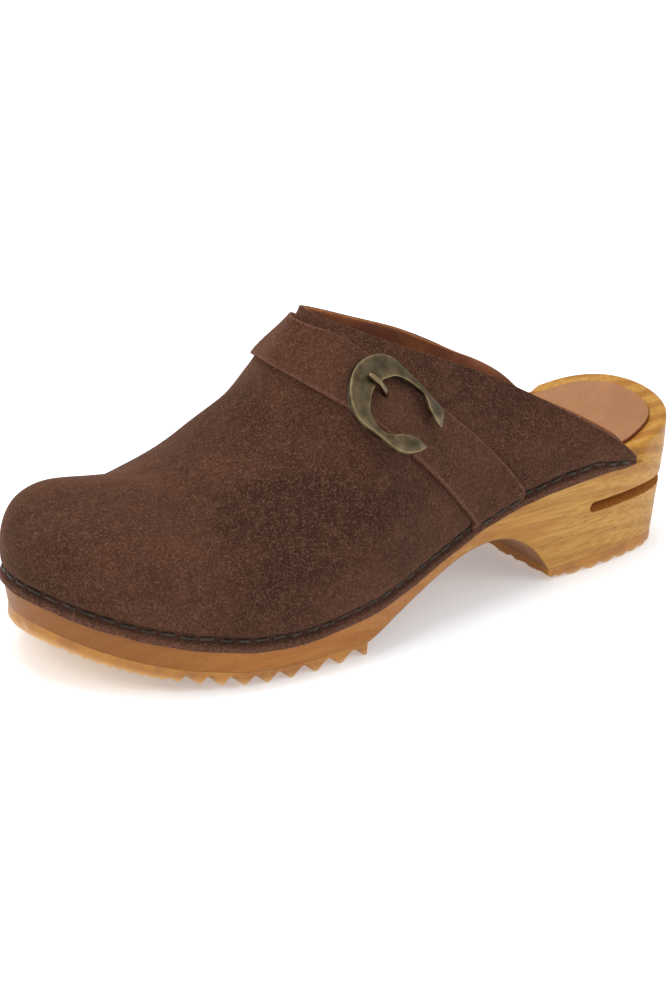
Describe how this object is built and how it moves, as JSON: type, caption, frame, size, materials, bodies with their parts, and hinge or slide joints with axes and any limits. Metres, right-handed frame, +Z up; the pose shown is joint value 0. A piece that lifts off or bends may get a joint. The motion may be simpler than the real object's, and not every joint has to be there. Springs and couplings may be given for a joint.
{
  "type": "clog",
  "caption": "Open-backed clog for the left foot: leather upper over a heeled wooden sole with lugged rubber treads and a buckled instep strap.",
  "frame": {"origin": "on the floor, under the middle of the heel, on the centre lug of the heel tread", "axes": "+X towards the toe, +Y towards the wearer's left (the lateral side), +Z up"},
  "size_m": [0.2567, 0.0973, 0.103],
  "materials": {
    "wood": "satin lacquer over open grain",
    "tread_rubber": "matte caramel rubber",
    "insole_leather": "smooth, slightly glossy",
    "suede": "napped brown suede",
    "brass": "antique brass, worn bright on its edges"
  },
  "bodies": {
    "root": {"wood_sole": "wood", "forefoot_tread": "tread_rubber", "heel_tread": "tread_rubber", "insole": "insole_leather", "upper": "suede", "strap": "suede", "buckle_ring": "brass", "buckle_prong": "brass"}
  },
  "joints": []
}
